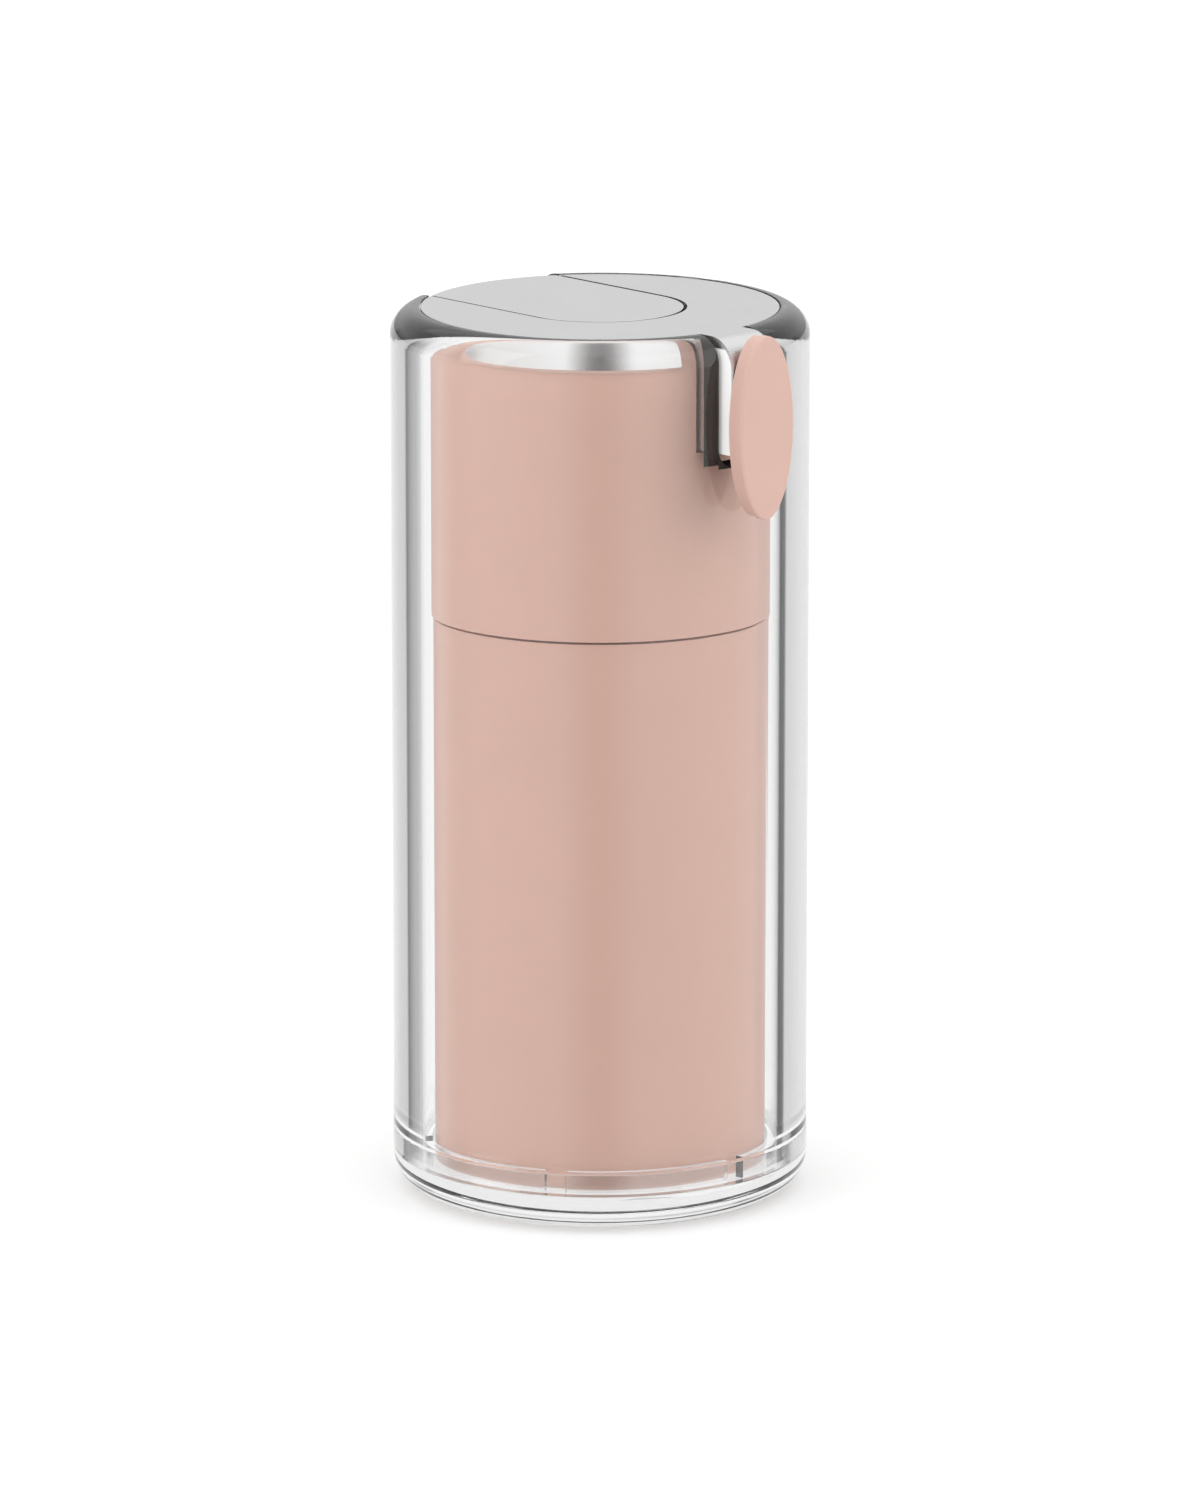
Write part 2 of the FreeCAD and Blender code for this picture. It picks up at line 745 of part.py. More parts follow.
def make_return_spring():
    wire = value("wire_dia")
    middle = value("coil_r") - wire / 2
    low = value("guide_top + seat_gap") + wire / 2
    high = value("carrier_low - seat_gap") - wire / 2
    turns = value("coil_turns")
    spans_per_turn = 4
    climb = (high - low) / (2 * math.pi * turns)

    def spot(angle):
        return FreeCAD.Vector(middle * math.cos(angle), middle * math.sin(angle), low + climb * angle)

    def way(angle):
        return FreeCAD.Vector(-middle * math.sin(angle), middle * math.cos(angle), climb).normalize()

    step = 2 * math.pi / spans_per_turn
    edges = []
    for span in range(round(turns * spans_per_turn)):
        start, end = span * step, (span + 1) * step
        first, last = biarc(spot(start), spot(end), way(start), way(end))
        edges += [first, last]
    path = Part.Wire(edges)
    section = Part.Wire([Part.makeCircle(wire / 2, spot(0), way(0))])
    coil = doc.addObject("Part::Feature", "return_spring")
    coil.Label = "return_spring"
    coil.Shape = path.makePipeShell([section], True, False)
    coil.Placement = FreeCAD.Placement()
    wanted = path.Length * math.pi * wire ** 2 / 4
    if abs(coil.Shape.Volume - wanted) > 0.01 * wanted:
        raise RuntimeError("return_spring has the wrong volume")
    print("return_spring least gap between turns", round((high - low) / turns - wire, 2))
    return coil


# Elbow: from the riser up and forward into the spout block

def make_outlet_elbow():
    body = new_body("outlet_elbow")
    low = "pump_top - elbow_entry"
    path = new_sketch(body, "elbow_path", "YZ_Plane")
    tip = "-(block_back + socket_depth)"
    marks = [("-riser_y", low), ("-riser_y", "duct_z - elbow_bend"),
             ("-(riser_y + elbow_bend)", "duct_z"), (tip, "duct_z")]
    spots = [FreeCAD.Vector(value(y), value(z), 0) for y, z in marks]
    path.addGeometry(Part.LineSegment(spots[0], spots[1]), False)
    path.addGeometry(arc_between(spots[1], spots[2], value("elbow_bend"), 1), False)
    path.addGeometry(Part.LineSegment(spots[2], spots[3]), False)
    path.addConstraint(Sketcher.Constraint("Coincident", 0, 2, 1, 1))
    path.addConstraint(Sketcher.Constraint("Coincident", 1, 2, 2, 1))
    for name, geometry, position, mark in (("low", 0, 1, 0), ("bend", 0, 2, 1),
                                           ("turn", 2, 1, 2), ("tip", 2, 2, 3)):
        pin(path, geometry, position, name, *marks[mark])
    dimension(path, "Radius", (1,), "bend_radius", "elbow_bend")
    doc.recompute()
    for name, kind, radius in (("elbow_tube", "PartDesign::AdditivePipe", "elbow_r"),
                               ("elbow_bore", "PartDesign::SubtractivePipe", "duct_dia / 2")):
        section = new_sketch(body, name + "_section", "XY_Plane", low)
        draw_circle(section, "0", "-riser_y", radius)
        doc.recompute()
        before = body.Shape.Volume if body.Tip else 0.0
        pipe = body.newObject(kind, name)
        pipe.Profile = section
        pipe.Spine = (path, ["Edge1", "Edge2", "Edge3"])
        doc.recompute()
        if body.Shape.Volume == before:
            raise RuntimeError(name + " changes nothing")
    slit = new_sketch(body, "elbow_slit_outline", "XZ_Plane")  # lets product past the lifted ball
    draw_outline(slit, rectangle("-elbow_slit / 2", "elbow_slit / 2", low, f"{low} + elbow_slit"))
    add_pocket(body, slit, "elbow_slit", beyond, reverse=True)
    return body


def make_spout_seal():
    seal = doc.addObject("Part::Torus", "spout_seal")
    seal.Label = "spout_seal"
    seal.Placement = FreeCAD.Placement(FreeCAD.Vector(), FreeCAD.Rotation(FreeCAD.Vector(1, 0, 0), 90))
    bind(seal, "Radius1", "elbow_r + seal_dia / 2 + seat_gap / 2")
    bind(seal, "Radius2", "seal_dia / 2")
    bind(seal, "Placement.Base.y", "-(block_back + seal_dia / 2)")
    bind(seal, "Placement.Base.z", "duct_z")
    return seal


# Head frame: stands on the collar's ledge; its rim carries the top plate and its deck stops the pad

def make_head_frame():
    body = turned("head_frame", [
        ("frame_in", "ledge_top"),
        ("frame_r", "ledge_top"),
        ("frame_r", "tail_low - fit_gap"),
        ("rim_r", "tail_low - fit_gap"),
        ("rim_r", "plate_low"),
        ("rim_in", "plate_low"),
        ("rim_in", "plate_low - rim_height"),
        ("frame_in", "plate_low - rim_height"),
        ("frame_in", "deck_top"),
        ("coil_r + deck_hole_gap", "deck_top"),
        ("coil_r + deck_hole_gap", "deck_low"),
        ("frame_in", "deck_low"),
    ])
    cut_front(body, "frame_front_gap", "gap_half", "riser_y - elbow_r - front_gap", "plate_low", "front_low")
    cut_back(body, "frame_back_gap", "cut_half", "carrier_r", "plate_low", "back_low")
    holes = new_sketch(body, "peg_hole_outline", "XY_Plane", "plate_low")
    draw_peg(holes, "peg_dia / 2 + seat_gap")
    pocket = add_pocket(body, holes, "peg_hole", "peg_length + seat_gap")
    mirror_pegs(body, pocket, "peg_holes")
    return body


def draw_peg(sketch, radius):
    # One of the plate's two pegs, to the side of the block
    ring = "((rim_r + rim_in) / 2)"
    draw_circle(sketch, f"{ring} * sin(peg_spread)", f"-{ring} * cos(peg_spread)", radius)


def mirror_pegs(body, feature, name):
    mirror = body.newObject("PartDesign::Mirrored", name)
    mirror.Originals = [feature]
    mirror.MirrorPlane = (next(part for part in body.Origin.OriginFeatures if part.Role == "YZ_Plane"), [""])
    body.Tip = mirror
    doc.recompute()


# Trim ring: bright band on the sleeve, rounding in under the plate, with a tail inside the sleeve

def make_trim_ring():
    top_r = "(collar_in + trim_band)"
    band_top = "(collar_top + trim_band)"
    curve_steps = 6
    curve = []
    for step in range(curve_steps + 1):
        angle = 90 * step / curve_steps
        curve.append((f"{top_r} + (trim_r - {top_r}) * cos({angle})",
                      f"{band_top} + (plate_low - {band_top}) * sin({angle})"))
    body = turned("trim_ring", [
        ("tail_in", "tail_low"),
        ("frame_r", "tail_low"),
        ("frame_r", "collar_top"),
        ("trim_r - edge_round", "collar_top"),
        ("trim_r", "collar_top + edge_round"),
        *curve,
        ("tail_in", "plate_low"),
    ])
    cut_front(body, "trim_front_gap", "post_half + fit_gap", "shell_r / 2", "plate_low", "front_low")
    cut_back(body, "trim_back_gap", "cut_half", "shell_r / 2", "plate_low", "back_low")
    return body


# Top plate: disc with a U-shaped opening, in one piece with the spout block

def u_outline(half, reach):
    # Half round in front, straight sides back to reach
    return [("-" + half, "0", half, 1), (half, "0"), (half, reach), ("-" + half, reach)]


def make_top_plate():
    body = new_body("top_plate")
    disc = new_sketch(body, "plate_outline", "XY_Plane", "plate_low")
    draw_circle(disc, "0", "0", "plate_r")
    add_pad(body, disc, "plate", "plate_thick")
    opening = new_sketch(body, "pad_opening_outline", "XY_Plane", "head_top")
    draw_outline(opening, u_outline("cut_half", beyond))
    add_pocket(body, opening, "pad_opening", "plate_thick")
    block = new_sketch(body, "block_outline", "YZ_Plane")
    draw_outline(block, [
        ("-block_back", "block_low"),
        ("-block_back", "head_top"),
        ("-(block_front - nose_radius)", "head_top", "nose_radius", 1),
        ("-block_front", "head_top - nose_radius"),
        ("-block_front", "block_low"),
    ])
    add_pad(body, block, "spout_block", "2 * block_half", middle=True)
    peg = new_sketch(body, "peg_outline", "XY_Plane", "plate_low")
    draw_peg(peg, "peg_dia / 2")
    mirror_pegs(body, add_pad(body, peg, "peg", "peg_length", reverse=True), "pegs")
    bores = (
        ("duct", "duct_dia / 2", "0", "block_front"),
        ("elbow_bore", "elbow_r + seat_gap", "0", "block_back + socket_depth + seat_gap"),
        ("seal_bore", "seal_groove", "0", "block_back + seal_dia + seat_gap"),
        ("neck_bore_cut", "elbow_r + seat_gap", "block_front - socket_depth - seat_gap", beyond),
    )
    for name, radius, start, end in bores:
        sketch = new_sketch(body, name + "_outline", "XZ_Plane", start)
        draw_circle(sketch, "0", "duct_z", radius)
        add_pocket(body, sketch, name, f"{end} - ({start})", reverse=True)
    return body


# Press pad: U-shaped plate flush with the top plate, on a carrier that pushes the rod

def make_press_pad():
    body = new_body("press_pad")
    tail = "sqrt(plate_r ^ 2 - pad_r ^ 2)"
    sketch = new_sketch(body, "press_pad_outline", "XY_Plane", "pad_low")
    draw_outline(sketch, [
        ("-pad_r", "0", "pad_r", 1),
        ("pad_r", "0"),
        ("pad_r", tail, "plate_r", 1),
        ("-pad_r", tail),
    ])
    add_pad(body, sketch, "pad_plate", "pad_thick")
    round_edges(body, "pad_rounding", at_height("head_top"), "pad_edge")
    return body


def make_pad_carrier():
    rod_bore = "rod_r + seat_gap"
    return turned("pad_carrier", [
        ("0", "carrier_low + rod_socket"),
        (rod_bore, "carrier_low + rod_socket"),
        (rod_bore, "carrier_low - boss_length"),
        ("boss_r", "carrier_low - boss_length"),
        ("boss_r", "carrier_low"),
        ("carrier_r", "carrier_low"),
        ("carrier_r", "pad_low"),
        ("0", "pad_low"),
    ])


# Spout: two oval layers with a channel between them, from the block's duct down to the lower tip

def draw_oval(sketch, inset):
    length = f"(oval_height - 2 * {inset})"
    width = f"(oval_width - 2 * {inset})"
    centre = FreeCAD.Vector(0, value("duct_z"), 0)
    long_end = centre + FreeCAD.Vector(0, value(f"{length} / 2"), 0)
    short_end = centre + FreeCAD.Vector(value(f"{width} / 2"), 0, 0)
    oval = sketch.addGeometry(Part.Ellipse(long_end, short_end, centre), False)
    sketch.exposeInternalGeometry(oval)
    long_axis, short_axis = oval + 1, oval + 2
    pin(sketch, oval, 3, "centre", "0", "duct_z")
    sketch.addConstraint(Sketcher.Constraint("Vertical", long_axis))
    dimension(sketch, "Distance", (long_axis,), "long_axis", length)
    dimension(sketch, "Distance", (short_axis,), "short_axis", width)


def make_spout_back():
    body = new_body("spout_back_plate")
    oval = new_sketch(body, "back_oval", "XZ_Plane", "oval_back")
    draw_oval(oval, "back_inset")
    add_pad(body, oval, "back_layer", "back_thick")
    neck = new_sketch(body, "neck_outline", "XZ_Plane", "oval_back")
    draw_circle(neck, "0", "duct_z", "elbow_r")
    add_pad(body, neck, "neck", "block_set + socket_depth", reverse=True)
    duct = new_sketch(body, "neck_duct_outline", "XZ_Plane")
    draw_circle(duct, "0", "duct_z", "duct_dia / 2")
    add_pocket(body, duct, "neck_duct", beyond, reverse=True)
    channel = new_sketch(body, "channel_outline", "XZ_Plane", "cover_back")
    draw_outline(channel, rectangle("-channel_width / 2", "channel_width / 2",
                                    "duct_z - oval_height", "duct_z"))
    add_pocket(body, channel, "channel", "channel_depth")
    return body


def make_spout_cover():
    body = new_body("spout_front_cover")
    oval = new_sketch(body, "cover_oval", "XZ_Plane", "cover_back")
    draw_oval(oval, "0")
    add_pad(body, oval, "cover_layer", "cover_thick")
    round_edges(body, "cover_edge", at_depth("-oval_front"), "oval_edge")
    return body


pieces = [
    make_outer_shell(),
    make_base_cup(),
    make_inner_bottle(),
    make_base_plug(),
    make_follower(),
    make_pump_collar(),
    make_neck_gasket(),
    make_pump_body(),
    make_inlet_seat(),
    make_inlet_cage(),
    make_ball("inlet_ball", "inlet_ball_dia", "inlet_hole", "pocket_low", "0"),
    make_pump_piston(),
    make_piston_rod(),
    make_rod_guide(),
    make_return_spring(),
    make_ball("outlet_ball", "outlet_ball_dia", "outlet_hole", "riser_seat", "-riser_y"),
    make_outlet_elbow(),
    make_spout_seal(),
    make_head_frame(),
    make_trim_ring(),
    make_top_plate(),
    make_press_pad(),
    make_pad_carrier(),
    make_spout_back(),
    make_spout_cover(),
]
doc.recompute()

for thing in doc.Objects:
    if "Invalid" in thing.State or "Error" in thing.State:
        raise RuntimeError(thing.Label + " failed")
for piece in pieces:
    if piece.Shape.isNull() or not piece.Shape.isValid() or len(piece.Shape.Solids) != 1:
        raise RuntimeError(piece.Label + " has no good solid")

os.makedirs("parts", exist_ok=True)
for piece in pieces:
    piece.Shape.exportStep(f"parts/{piece.Label}.step")
    print(piece.Label, round(piece.Shape.Volume, 1))
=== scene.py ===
import math

import bpy
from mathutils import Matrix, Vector


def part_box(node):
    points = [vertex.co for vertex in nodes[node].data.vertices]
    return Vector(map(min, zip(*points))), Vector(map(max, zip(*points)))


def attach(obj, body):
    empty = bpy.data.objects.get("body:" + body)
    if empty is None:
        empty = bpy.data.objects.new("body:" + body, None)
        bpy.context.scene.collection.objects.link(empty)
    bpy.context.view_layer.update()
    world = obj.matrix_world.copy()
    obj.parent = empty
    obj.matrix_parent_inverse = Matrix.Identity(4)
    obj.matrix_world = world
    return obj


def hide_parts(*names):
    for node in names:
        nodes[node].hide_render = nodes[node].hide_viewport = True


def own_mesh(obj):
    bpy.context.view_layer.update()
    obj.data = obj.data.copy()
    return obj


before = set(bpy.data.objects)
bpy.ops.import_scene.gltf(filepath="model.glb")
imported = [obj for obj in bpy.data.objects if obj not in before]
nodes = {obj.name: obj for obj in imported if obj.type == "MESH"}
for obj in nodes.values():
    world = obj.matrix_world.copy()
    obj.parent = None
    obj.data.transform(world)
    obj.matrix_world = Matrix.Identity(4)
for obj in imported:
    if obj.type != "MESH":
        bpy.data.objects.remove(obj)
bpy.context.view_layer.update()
print("frame loaded with", len(nodes), "nodes")

noiseMiddle = (0.3, 0.7)  # where most of a noise texture's values lie


def newTree(name):
    # a new material with its tree and shader
    material = bpy.data.materials.new(name)
    material.use_nodes = True
    tree = material.node_tree
    return material, tree, tree.nodes["Principled BSDF"]


def addNode(tree, kind, **settings):
    # each setting is a property of the node or the value of an input
    node = tree.nodes.new(kind)
    for key, value in settings.items():
        if hasattr(node, key):
            setattr(node, key, value)
        else:
            node.inputs[key].default_value = value
    return node


def feed(tree, source, socket):
    # the source is another socket or a plain value
    if isinstance(source, bpy.types.NodeSocket):
        tree.links.new(source, socket)
    else:
        socket.default_value = source


def addMath(tree, operation, first, second=0.0):
    # one step of arithmetic on sockets or numbers
    node = addNode(tree, "ShaderNodeMath", operation=operation)
    feed(tree, first, node.inputs[0])
    feed(tree, second, node.inputs[1])
    return node.outputs[0]


def allOf(tree, mask, *others):
    # one only where every mask is one
    for other in others:
        mask = addMath(tree, "MULTIPLY", mask, other)
    return mask


def addMix(tree, kind, factor, first, second):
    # the first where the factor is nought, the second where it is one
    node = addNode(tree, "ShaderNodeMix", data_type=kind)
    feed(tree, factor, node.inputs["Factor"])
    feed(tree, first, node.inputs["A"])
    feed(tree, second, node.inputs["B"])
    return node.outputs["Result"]


def addRange(tree, source, fromRange, toRange):
    # one range of values stretched over another
    node = addNode(tree, "ShaderNodeMapRange")
    for key, value in zip(("From Min", "From Max", "To Min", "To Max"), (*fromRange, *toRange)):
        node.inputs[key].default_value = value
    tree.links.new(source, node.inputs["Value"])
    return node.outputs["Result"]


def addAxes(tree, kind):
    # X, Y and Z of a place on the part, of its surface's normal or of a way into the room
    place = addNode(tree, "ShaderNodeTexCoord")
    apart = addNode(tree, "ShaderNodeSeparateXYZ")
    tree.links.new(place.outputs[kind], apart.inputs["Vector"])
    return apart.outputs


def grainNoise(tree, scale, detail, stretch=(1, 1, 1)):
    # noise in the part's own metres, stretched for a spun or drawn grain
    place = addNode(tree, "ShaderNodeTexCoord")
    mapping = addNode(tree, "ShaderNodeMapping", Scale=stretch)
    noise = addNode(tree, "ShaderNodeTexNoise", Scale=scale, Detail=detail)
    tree.links.new(place.outputs["Object"], mapping.inputs["Vector"])
    tree.links.new(mapping.outputs["Vector"], noise.inputs["Vector"])
    return noise.outputs["Fac"]


def opaque(colour, factor=1.0):
    # the colour made darker or lighter, with full alpha
    return (*(min(channel * factor, 1.0) for channel in colour), 1.0)


def cloudColour(tree, look):
    # slow drifts of the colour round its own value
    cloud = grainNoise(tree, look["cloudScale"], look["cloudDetail"])
    dark = opaque(look["colour"], 1 - look["cloudiness"])
    light = opaque(look["colour"], 1 + look["cloudiness"])
    return addMix(tree, "RGBA", addRange(tree, cloud, noiseMiddle, (0, 1)), dark, light)


# what a finish has unless its own dictionary says otherwise; lengths are in metres
plainFinish = {
    "metallic": 0.0, "ior": 1.5, "coat": 0.0, "coatRoughness": 0.1,
    "cloudDetail": 3, "grainDetail": 2, "stretch": (1, 1, 1),
}
pinkSatin = {
    "name": "pinkSatin", "colour": (0.715, 0.437, 0.352), "roughness": (0.32, 0.38),
    "coat": 0.10, "coatRoughness": 0.16, "cloudScale": 90, "cloudiness": 0.012,
    "grainScale": 5200, "bump": 0.05, "grainHeight": 0.00002,
}
pinkSpout = {
    "name": "pinkSpout", "colour": (0.61, 0.392, 0.33), "roughness": (0.34, 0.40),
    "coat": 0.05, "coatRoughness": 0.2, "cloudScale": 90, "cloudiness": 0.012,
    "grainScale": 5200, "bump": 0.05, "grainHeight": 0.00002,
}
satinSilver = {
    "name": "satinSilver", "colour": (0.605, 0.605, 0.605), "metallic": 1.0,
    "roughness": (0.26, 0.34), "cloudScale": 140, "cloudiness": 0.015,
    "grainScale": 6500, "bump": 0.06, "grainHeight": 0.00002,
}
brightSilver = {
    "name": "brightSilver", "colour": (0.92, 0.92, 0.92), "metallic": 1.0,
    "roughness": (0.10, 0.16), "cloudScale": 160, "cloudiness": 0.01,
    "grainScale": 3000, "stretch": (1, 1, 6), "bump": 0.03, "grainHeight": 0.00001,
}
naturalPlastic = {
    "name": "naturalPlastic", "colour": (0.80, 0.80, 0.78), "roughness": (0.42, 0.5),
    "cloudScale": 220, "cloudiness": 0.03,
    "grainScale": 4200, "bump": 0.08, "grainHeight": 0.00002,
}
sealRubber = {
    "name": "sealRubber", "colour": (0.62, 0.62, 0.60), "roughness": (0.6, 0.72),
    "cloudScale": 300, "cloudiness": 0.04,
    "grainScale": 5000, "bump": 0.15, "grainHeight": 0.00003,
}
plainSteel = {
    "name": "plainSteel", "colour": (0.62, 0.62, 0.63), "metallic": 1.0,
    "roughness": (0.18, 0.28), "cloudScale": 400, "cloudiness": 0.03,
    "grainScale": 6000, "bump": 0.05, "grainHeight": 0.00001,
}


def finishOf(ownLook):
    # one finish: cloudy colour, uneven gloss and a fine moulded or brushed grain
    look = {**plainFinish, **ownLook}
    material, tree, shader = newTree(look["name"])
    shader.inputs["Metallic"].default_value = look["metallic"]
    shader.inputs["IOR"].default_value = look["ior"]
    shader.inputs["Coat Weight"].default_value = look["coat"]
    shader.inputs["Coat Roughness"].default_value = look["coatRoughness"]
    tree.links.new(cloudColour(tree, look), shader.inputs["Base Color"])
    grain = grainNoise(tree, look["grainScale"], look["grainDetail"], look["stretch"])
    tree.links.new(addRange(tree, grain, noiseMiddle, look["roughness"]), shader.inputs["Roughness"])
    bump = addNode(tree, "ShaderNodeBump", Strength=look["bump"], Distance=look["grainHeight"])
    tree.links.new(grain, bump.inputs["Height"])
    tree.links.new(bump.outputs["Normal"], shader.inputs["Normal"])
    return material


clearPlastic = {
    "name": "clearPlastic", "tint": (0.994, 0.995, 0.995), "ior": 1.49, "specular": 0.5,
    "roughness": (0.0, 0.012), "grainScale": 900, "grainDetail": 1,
}
# walls of the spout's slot, in metres: half its width, its lower end and the bore's front; its colour
# is painted shade, which makes these clear walls dark
slotWallShade = {"halfWidth": 0.00353, "lowZ": 0.08462, "frontY": -0.0188, "colour": (0.05, 0.045, 0.041)}


def shadeSlotWalls(tree, shader, look):
    # painted shade: the slot's clear walls are made dark and let nothing through
    spot = addAxes(tree, "Object")
    across = addMath(tree, "LESS_THAN", addMath(tree, "ABSOLUTE", spot["X"]), slotWallShade["halfWidth"])
    above = addMath(tree, "GREATER_THAN", spot["Z"], slotWallShade["lowZ"])
    ahead = addMath(tree, "LESS_THAN", spot["Y"], slotWallShade["frontY"])
    shadedWall = allOf(tree, across, above, ahead)
    colour = addMix(tree, "RGBA", shadedWall, opaque(look["tint"]), opaque(slotWallShade["colour"]))
    clear = addMath(tree, "SUBTRACT", 1.0, shadedWall)
    tree.links.new(colour, shader.inputs["Base Color"])
    tree.links.new(clear, shader.inputs["Transmission Weight"])
    gloss = addMath(tree, "MULTIPLY", clear, look["specular"])
    tree.links.new(gloss, shader.inputs["Specular IOR Level"])


def clearFinish(look):
    # clear moulded plastic that lets lamp light through to what stands inside
    material, tree, shader = newTree(look["name"])
    shader.inputs["Transmission Weight"].default_value = 1.0  # the export reads it under its link
    shader.inputs["IOR"].default_value = look["ior"]
    grain = grainNoise(tree, look["grainScale"], look["grainDetail"])
    tree.links.new(addRange(tree, grain, noiseMiddle, look["roughness"]), shader.inputs["Roughness"])
    # the slot's walls get their painted shade
    shadeSlotWalls(tree, shader, look)
    through = addNode(tree, "ShaderNodeBsdfTransparent", Color=opaque(look["tint"]))
    path = addNode(tree, "ShaderNodeLightPath")
    choice = addNode(tree, "ShaderNodeMixShader")
    tree.links.new(path.outputs["Is Shadow Ray"], choice.inputs["Fac"])
    tree.links.new(shader.outputs["BSDF"], choice.inputs[1])
    tree.links.new(through.outputs["BSDF"], choice.inputs[2])
    tree.links.new(choice.outputs["Shader"], tree.nodes["Material Output"].inputs["Surface"])
    return material


coveredNodes = {
    "pinkSatin": ["inner_bottle", "pump_collar"],
    "pinkSpout": ["spout_back_plate", "spout_front_cover"],
    "satinSilver": ["top_plate", "press_pad"],
    "brightSilver": ["trim_ring"],
    "naturalPlastic": [
        "bottle_base_plug", "follower_piston", "pump_body", "inlet_seat", "inlet_cage", "rod_guide",
        "piston_rod", "pump_piston", "pad_carrier", "head_frame", "outlet_elbow",
    ],
    "sealRubber": ["neck_gasket", "spout_seal"],
    "plainSteel": ["inlet_ball", "outlet_ball", "return_spring"],
    "clearPlastic": ["outer_shell", "base_cup"],
}


def paint(look, material):
    for name in coveredNodes[look["name"]]:
        mesh = nodes[name].data
        mesh.materials.clear()
        mesh.materials.append(material)


for look in (pinkSatin, pinkSpout, satinSilver, brightSilver, naturalPlastic, sealRubber, plainSteel):
    paint(look, finishOf(look))
paint(clearPlastic, clearFinish(clearPlastic))


def mixOver(tree, kind, mask, socket, value):
    # another value on the masked part of what already feeds the socket
    tree.links.new(addMix(tree, kind, mask, socket.links[0].from_socket, value), socket)


# painted shade: the pad's upright sides are darkened, but for its tail at the back, so its seams read
# as dark lines
padSeamShade = {"colour": (0.10, 0.10, 0.10), "upright": 0.5, "tail": 0.3}


def shadePadSeams(material):
    # painted shade on the pad's upright sides, which stands in for the shadow in its seams
    tree = material.node_tree
    way = addAxes(tree, "Normal")
    upright = addMath(tree, "LESS_THAN", addMath(tree, "ABSOLUTE", way["Z"]), padSeamShade["upright"])
    seamShade = allOf(tree, upright, addMath(tree, "LESS_THAN", way["Y"], padSeamShade["tail"]))
    shader = tree.nodes["Principled BSDF"]
    mixOver(tree, "RGBA", seamShade, shader.inputs["Base Color"], opaque(padSeamShade["colour"]))


# the spout block's sides are white under a silver cap, which rounds off at its nose; in metres,
# but for sideways, which is how far a face looks along X
blockCore = {
    "noseY": -0.0210, "noseZ": 0.09545, "reach": 0.0032, "capLow": 0.09775, "backY": -0.0193,
    "sideways": 0.9, "colour": (0.95, 0.95, 0.94), "roughness": 0.45,
}


def whitenBlock(material):
    tree = material.node_tree
    spot = addAxes(tree, "Object")
    way = addAxes(tree, "Normal")
    forward = addMath(tree, "MAXIMUM", addMath(tree, "SUBTRACT", blockCore["noseY"], spot["Y"]))
    upward = addMath(tree, "MAXIMUM", addMath(tree, "SUBTRACT", spot["Z"], blockCore["noseZ"]))
    forwardSquare = addMath(tree, "MULTIPLY", forward, forward)
    upwardSquare = addMath(tree, "MULTIPLY", upward, upward)
    squares = addMath(tree, "ADD", forwardSquare, upwardSquare)
    inside = addMath(tree, "LESS_THAN", squares, blockCore["reach"] ** 2)
    below = addMath(tree, "LESS_THAN", spot["Z"], blockCore["capLow"])
    ahead = addMath(tree, "LESS_THAN", spot["Y"], blockCore["backY"])
    sideways = addMath(tree, "GREATER_THAN", addMath(tree, "ABSOLUTE", way["X"]), blockCore["sideways"])
    core = allOf(tree, inside, below, ahead, sideways)
    shader = tree.nodes["Principled BSDF"]
    mixOver(tree, "RGBA", core, shader.inputs["Base Color"], opaque(blockCore["colour"]))
    mixOver(tree, "FLOAT", core, shader.inputs["Roughness"], blockCore["roughness"])
    tree.links.new(addMath(tree, "SUBTRACT", 1.0, core), shader.inputs["Metallic"])


def ownSilver(node, name, change):
    # a copy of the satin silver that differs on part of one node
    material = bpy.data.materials["satinSilver"].copy()
    material.name = name
    change(material)
    nodes[node].data.materials[0] = material


ownSilver("top_plate", "satinSilverCap", whitenBlock)
# the pad's copy carries the painted shade of its seams
ownSilver("press_pad", "shadedSatinSilverPad", shadePadSeams)
print("finishes on", sum(len(names) for names in coveredNodes.values()), "nodes")


def makeSpring():
    # the wire in the spring's own form, which rides with the cartridge
    node = nodes["return_spring"]
    wire = bpy.data.objects.new("returnSpringWire", node.data.copy())
    bpy.context.scene.collection.objects.link(wire)
    low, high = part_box("return_spring")
    length = high[2] - low[2]
    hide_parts("return_spring")
    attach(wire, "cartridge")
    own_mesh(wire)
    return length


print("spring wire made,", round(makeSpring(), 5), "m long")


def lookedAt(tree, path):
    # one where the camera, metal or glass looks, nought where light only falls
    mirrored = addMath(tree, "MAXIMUM", path["Is Camera Ray"], path["Is Glossy Ray"])
    return addMath(tree, "MAXIMUM", mirrored, path["Is Transmission Ray"])


# pale floor in metres; its glow grows with distance and leaves the shadow near the base
paleFloor = {
    "size": 12.0, "cuts": 8, "colour": (0.80, 0.80, 0.80), "cloudiness": 0.006, "cloudScale": 4.0,
    "cloudDetail": 3, "roughness": 0.9, "glow": (0.18, 0.6), "glowReach": (0.3, 2.0),
}


